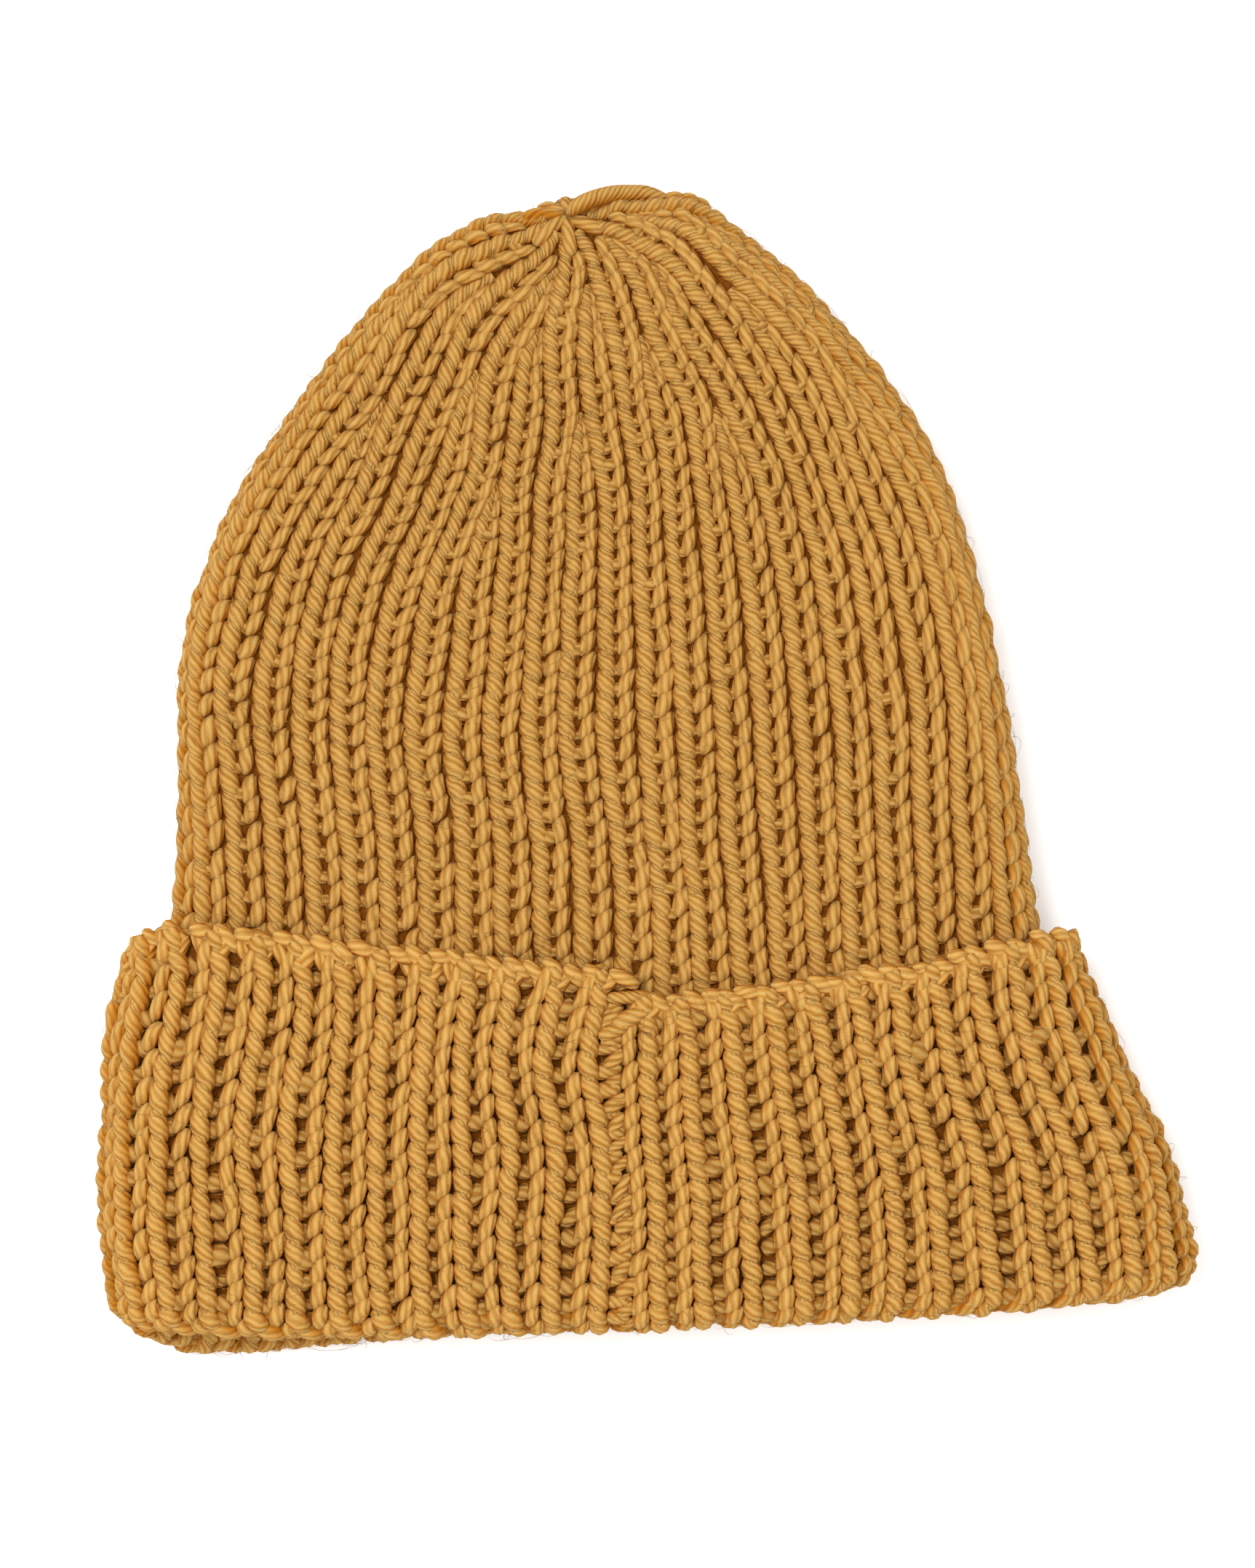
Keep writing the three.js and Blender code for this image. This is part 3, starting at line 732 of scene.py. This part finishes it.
def in_brim(rib, along, across, out):
    """A place in a rib, along from the cast-on edge, across from the rib's middle and out from the outer
    face. Across runs to the left as seen, because the stitches are upside down."""
    rib, along, across, out = np.broadcast_arrays(rib, along, across, out)
    around = rib_at(rib, along)
    sideways = SWAY["brim"] * sway(RIB_COUNT, along, rib) - across
    along = from_edge(along, around)
    point, facing = on_brim(along, around + sideways / brim_stretch(along, around), -out)
    return point, facing, np.full(rib.shape, RIB_YARN)


def drawn_in(along):
    """A rib's legs start close together at the cast-on edge and part over its first two rows."""
    return RIB_LEG_OFFSET * (0.35 + 0.65 * smooth(along, 1.5, 8.5))


def brim_cells(ribs, first, last):
    """Rib and distance along of each stitch of the ribbing, which strays from its row as its rib does."""
    rows = np.arange(first, last, RIB_ROW)
    rib, along = (grid.ravel() for grid in np.meshgrid(ribs, rows, indexing="ij"))
    along = along + RIB_ROW * ROW_DRIFT * np.clip(SWAY_VALUES[rib, 1], -1.5, 1.5)
    return rib, np.maximum(along, first + 0.7)  # none stands out past the edge


faces_front = np.mod(RIB_AT[0], 2) < 1
BRIM_SIDES = {
    "front": {"ribs": np.arange(RIB_COUNT)[faces_front], "rope_steps": 170, "rope_sides": 9, "oval": (9, 7)},
    "back": {"ribs": np.arange(RIB_COUNT)[~faces_front], "rope_steps": 120, "rope_sides": 8, "oval": (7, 6)},
}
brim_rope_wool = wool("brim_rope_wool", ROPE_PLIES, share=0.98)
brim_oval_wool = wool("brim_oval_wool", OVAL_PLIES, share=0.98)
# The valley bars' lower share of the colour is painted shade, as they lie deep between the ribs.
shaded_brim_bar_wool = wool("shaded_brim_bar_wool", OVAL_PLIES, share=0.8)
for side, parts in BRIM_SIDES.items():
    ribs = parts["ribs"]
    along = np.linspace(RIB_STARTS, RIB_ENDS, parts["rope_steps"]) * np.ones((len(ribs), 1))
    legs = ropes("brim_ropes_" + side, in_brim, ribs, along, along / RIB_ROW, drawn_in(along), bowed=0.36,
                 sides=parts["rope_sides"])
    worn(legs, brim_rope_wool)
    rib, along = brim_cells(ribs, RIB_STARTS + 2.2, RIB_ENDS - 1)
    legs = ovals("brim_ovals_" + side, in_brim, rib, along, RIB_ROW, drawn_in(along)[:, None], *parts["oval"])
    worn(legs, brim_oval_wool)
    crossed = (rib > 0) & (along > RIB_STARTS + RIB_ROW)
    rib, along = rib[crossed], along[crossed] - RIB_ROW / 2
    uneven = rng.normal(0, 1, (3, len(rib), 1))
    crossings = bars("brim_valley_bars_" + side, in_brim, rib, along, across=VALLEY + 0.25 * uneven[0],
                     half=2.2, radius=1.93 + 0.2 * uneven[1], slant=0.3 + 0.55 * uneven[2], deep=3.0,
                     steps=5, sides=6)
    worn(crossings, shaded_brim_bar_wool)

# Cast-on edge
# The first loops of the ribbing, thrown on one after another, lie along the brim's free edge like a loose
# braid. They are of the same wool as the ribs that are knitted out of them.
EDGE_LOOPS = 2 * RIB_COUNT
LOOP_YARN = 1.55
LOOP_HALF = 2.6  # half a loop's length
LOOP_UNEVEN = {"half": 0.25, "along": 0.25, "slant": 0.35, "deep": 0.1, "radius": 0.12}


def edge_loops(name, count, sunk, start, slant, steps, sides):
    """Slanted loops along the cast-on edge, each a short length of yarn that ends under the next. Every other
    loop sits a little lower and slants a little more. The loops by the seam's step stay on one side of it."""
    q = np.linspace(-1, 1, steps)  # from one end of each loop to the other
    jitter = rng.normal(0, 1, (count, 5, 1))
    loop = np.arange(count)[:, None]
    turn = np.cos(np.pi * loop)
    around = RIBS_RIGHT_OF_SEAM - RIB * 0.9 + (RIB_SPAN + RIB * 1.1) * (loop + 0.5) / count
    half = LOOP_HALF + LOOP_UNEVEN["half"] * jitter[:, 0]
    lean = slant + 0.3 * turn + LOOP_UNEVEN["slant"] * jitter[:, 2]
    at = start + LOOP_UNEVEN["along"] * jitter[:, 1] + lean * q + 0.25 * turn
    reach = around + half * q / brim_stretch(start, around)
    by_step = np.abs(around - SEAM_AT["step"]) < 1.6 / count
    deep = sunk + 0.5 * q + 1.2 * np.abs(q) ** 3 + LOOP_UNEVEN["deep"] * jitter[:, 3]
    path, up = on_brim(from_edge(at, np.where(by_step, around, reach)), reach, deep)
    radius = LOOP_YARN + LOOP_UNEVEN["radius"] * jitter[:, 4]
    radius = radius * np.clip(1 - np.abs(q) ** 2.8, 0.003, 1) ** 0.5
    plies = rng.random((count, 1)) - 0.5 * half * (q + 1)
    return strands(name, path, up, radius, plies, sides)


edge_wool = wool("cast_on_wool", OVAL_PLIES, share=1.03)
loops = edge_loops("cast_on_loops", EDGE_LOOPS, sunk=1.7, start=1.9, slant=1.5, steps=9, sides=8)
worn(loops, edge_wool)
# Under them the first stitches of each rib fan out from its top to both sides.
fan_side = np.tile([-1.0, 1.0], RIB_COUNT)[:-1, None]
fan_rib = (np.arange(2 * RIB_COUNT - 1) + 1) // 2
fans = bars("cast_on_fans", in_brim, fan_rib, np.full(len(fan_rib), 3.9), across=2.2 * fan_side, half=1.35,
            radius=1.5, slant=-2.1 * fan_side, deep=2.0, steps=7, sides=8)
worn(fans, edge_wool)
loops = edge_loops("cast_on_under_loops", EDGE_LOOPS, sunk=3.4, start=2.3, slant=-0.8, steps=7, sides=7)
worn(loops, edge_wool)

# Brim seam
# The ribbing's two edges are sewn together on the front. Their selvedge stitches lie in a gutter left of a
# rib, drawn over by the sewing yarn.
SEAM_ROWS = np.arange(3.0, TURN_ENDS + 20, RIB_ROW)
SEAM_UNEVEN = {"across": 0.3, "half": 0.3, "slant": 0.5}


def seam_bars(name, across, half, radius, slant, deep, shift):
    """A line of bars down the seam, one a row, placed from the rib that lies right of it."""
    along = SEAM_ROWS + shift
    rib = np.zeros(len(along), int)
    uneven = rng.normal(0, 1, (3, len(along), 1))
    across = across + SEAM_UNEVEN["across"] * uneven[0]
    half = half + SEAM_UNEVEN["half"] * uneven[1]
    slant = slant + SEAM_UNEVEN["slant"] * uneven[2]
    return bars(name, in_brim, rib, along, across, half, radius, slant, deep, steps=7, sides=8)


seam_wool = wool("seam_wool", OVAL_PLIES, share=0.95)
seam = seam_bars("seam_selvedge", across=6.0, half=2.6, radius=1.6, slant=0.8, deep=2.4, shift=0.0)
worn(seam, seam_wool)
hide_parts("brim_seam")
sewing = seam_bars("seam_stitches", across=4.6, half=2.1, radius=1.35, slant=1.7, deep=1.8, shift=2.1)
worn(sewing, seam_wool)
# The sewing starts with a few big loops that close the step in the cast-on edge.
SEAM_TOP = {"along": [1.4, 5.3, 8.2], "across": [3.0, 1.6, 4.4], "half": [3.3, 3.3, 3.0],
            "slant": [0.3, 2.0, 1.8]}
across, half, slant = (np.array(SEAM_TOP[key])[:, None] for key in ("across", "half", "slant"))
top_loops = bars("seam_top_loops", in_brim, np.zeros(3, int), np.array(SEAM_TOP["along"]), across, half,
                 radius=1.7, slant=slant, deep=1.0, steps=9, sides=9)
worn(top_loops, seam_wool)

# Crown gather
# Yarn threaded through the last stitches and drawn up tight. The stitches fold over the hole's edge, and a
# few thick turns of the yarn cross its mouth.
GATHER_TURNS = 8
GATHER_YARN = 1.45
TAIL_YARN = 1.6
TAIL_STEPS = 60
gather_wool = wool("gather_wool", ROPE_PLIES, share=0.92)
edge_places, _ = on_tube(GATHER, wall_around, 0)
gather_middle = edge_places.mean(0)
around = np.linspace(0, 2, GATHER_TURNS, endpoint=False)[:, None]
q = np.linspace(0, 1, 9)
rim, rim_up = on_tube(GATHER + 4.5 * (1 - q), around, -1.9 + 1.5 * np.sin(np.pi * q))
inward = (q ** 2)[:, None]
path = rim * (1 - inward) + (gather_middle + [0, -0.4, -1.6]) * inward
radius = GATHER_YARN * np.sqrt(np.clip(1 - (2 * q - 1) ** 6, 0.003, 1)) * np.ones((GATHER_TURNS, 1))
plies = rng.random((GATHER_TURNS, 1)) - 4.0 * q
gather = worn(strands("gather_turns", path, rim_up, radius, plies, sides=10), gather_wool)
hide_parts("crown_gather")
# The yarn's end runs on to the right over the top edge and is sewn in.
TAIL = np.array([[-15.6, 106.2, 13.4], [-13.0, 108.2, 14.6], [-9.5, 109.7, 13.8], [-5.5, 110.6, 12.2],
                 [-1.5, 110.7, 11.2], [2.0, 109.8, 10.0], [4.5, 108.0, 8.6]])
tail_path = steady(np.arange(len(TAIL)), TAIL, np.linspace(0, len(TAIL) - 1, TAIL_STEPS))[None]
tail_radius = TAIL_YARN * (1 - np.linspace(-1, 1, TAIL_STEPS)[None] ** 8 * 0.9)
tail_up = np.broadcast_to([0.0, 0.5, 0.87], tail_path.shape)
tail_plies = -0.9 * travelled(tail_path[0])[None]
tail = strands("gather_tail", tail_path, tail_up, tail_radius, tail_plies, sides=12)
worn(tail, gather_wool)

# Loose fibres
# The wool is felted by wear: fine hairs stand out of the yarn in low arcs and blur the edges of the stitches.
# They are single fibres of the same wool, held only by its twist.
FIBRES = {"crown": 2200, "brim": 1500}
FIBRE_RADIUS = 0.05
FIBRE_ROOT = 0.35  # a hair starts this far under the surface
HALF_ROUND = 165  # millimetres across the front, about, by which a hair's reach is turned into a share around


def fibres(name, place, count, low, high):
    """Hairs that leave the surface at a random place, arch over it by a half sine and come down or stand
    free."""
    q = np.linspace(0, 1, 7)
    down = rng.uniform(low, high, (count, 1))
    around = rng.uniform(0, 2, (count, 1))
    heading = rng.uniform(0, 2 * np.pi, (count, 1))
    length = rng.gamma(3.0, 1.3, (count, 1))
    curl = rng.normal(0, 1.0, (count, 1)) * q
    height = rng.gamma(2.5, 0.32, (count, 1)) * np.sin(np.pi * q * rng.uniform(0.6, 1.0, (count, 1)))
    along = down + length * q * np.cos(heading + curl)
    across = around + length * q * np.sin(heading + curl) / HALF_ROUND
    path, up = place(np.clip(along, low, high), across, height - FIBRE_ROOT)
    radius = FIBRE_RADIUS * (1 - 0.6 * q) * np.ones((count, 1))
    return strands(name, path, up, radius, 3 * q * np.ones((count, 1)), sides=3)


def over_brim(along, around, out):
    """A place on the brim, out from its outer face, and the outward normal there."""
    return on_brim(along, around, -out)


fibre_wool = wool("fibre_wool", plies=1, share=1.3)
crown_hairs = fibres("crown_fibres", on_tube, FIBRES["crown"], low=12, high=CAST_ON)
worn(crown_hairs, fibre_wool)
brim_hairs = fibres("brim_fibres", over_brim, FIBRES["brim"], low=0.5, high=TURN_ENDS)
worn(brim_hairs, fibre_wool)

# Floor, lights and camera
# The hat lies on a plain white floor under soft light, which comes from the upper left, and is seen from
# straight above.
floor_mesh = bpy.data.meshes.new("floor")
REACH = 3.0
floor_corners = [(-REACH, -REACH, 0), (REACH, -REACH, 0), (REACH, REACH, 0), (-REACH, REACH, 0)]
floor_mesh.from_pydata(floor_corners, [], [(0, 1, 2, 3)])
floor = bpy.data.objects.new("floor", floor_mesh)
bpy.context.scene.collection.objects.link(floor)
floor_finish = Finish("floor_white")
floor_surface = floor_finish.node("ShaderNodeBsdfPrincipled", {}, {
    "Base Color": (0.93, 0.93, 0.93, 1), "Roughness": 0.9, "Specular IOR Level": 0.1,
    "Emission Color": (1, 1, 1, 1), "Emission Strength": 0.2})
floor_finish.node("ShaderNodeOutputMaterial", {}, {"Surface": floor_surface})
floor_mesh.materials.append(floor_finish.material)

scene = bpy.context.scene
scene.view_settings.view_transform = "Standard"
world = bpy.data.worlds.new("studio")
world.use_nodes = True
background = world.node_tree.nodes["Background"]
background.inputs["Color"].default_value = (1, 1, 1, 1)
background.inputs["Strength"].default_value = 0.78
scene.world = world

VIEW_PX_PER_MM = 7.24
VIEW_MIDDLE = Vector((-4.0, -1.7, 13.0)) * MM
CAMERA_HEIGHT = 1.0
IMAGE_HEIGHT_PX = 2156


def soft_light(name, place, size, energy):
    """A round area light at a place, turned to the middle of the view."""
    lamp = bpy.data.lights.new(name, "AREA")
    lamp.shape = "DISK"
    lamp.size = size
    lamp.energy = energy
    holder = bpy.data.objects.new(name, lamp)
    holder.location = place
    holder.rotation_euler = (VIEW_MIDDLE - Vector(place)).to_track_quat("-Z", "Y").to_euler()
    scene.collection.objects.link(holder)


soft_light("key_light", (-0.65, 0.35, 1.6), size=1.0, energy=24.5)
soft_light("fill_light", (0.6, -0.4, 1.7), size=1.5, energy=7)

camera_data = bpy.data.cameras.new("camera")
camera = bpy.data.objects.new("camera", camera_data)
scene.collection.objects.link(camera)
camera_data.sensor_fit = "VERTICAL"
camera_data.sensor_height = 36.0
camera_data.lens = camera_data.sensor_height * CAMERA_HEIGHT / (IMAGE_HEIGHT_PX / VIEW_PX_PER_MM * MM)
camera.location = VIEW_MIDDLE + Vector((0, 0, CAMERA_HEIGHT))
scene.camera = camera
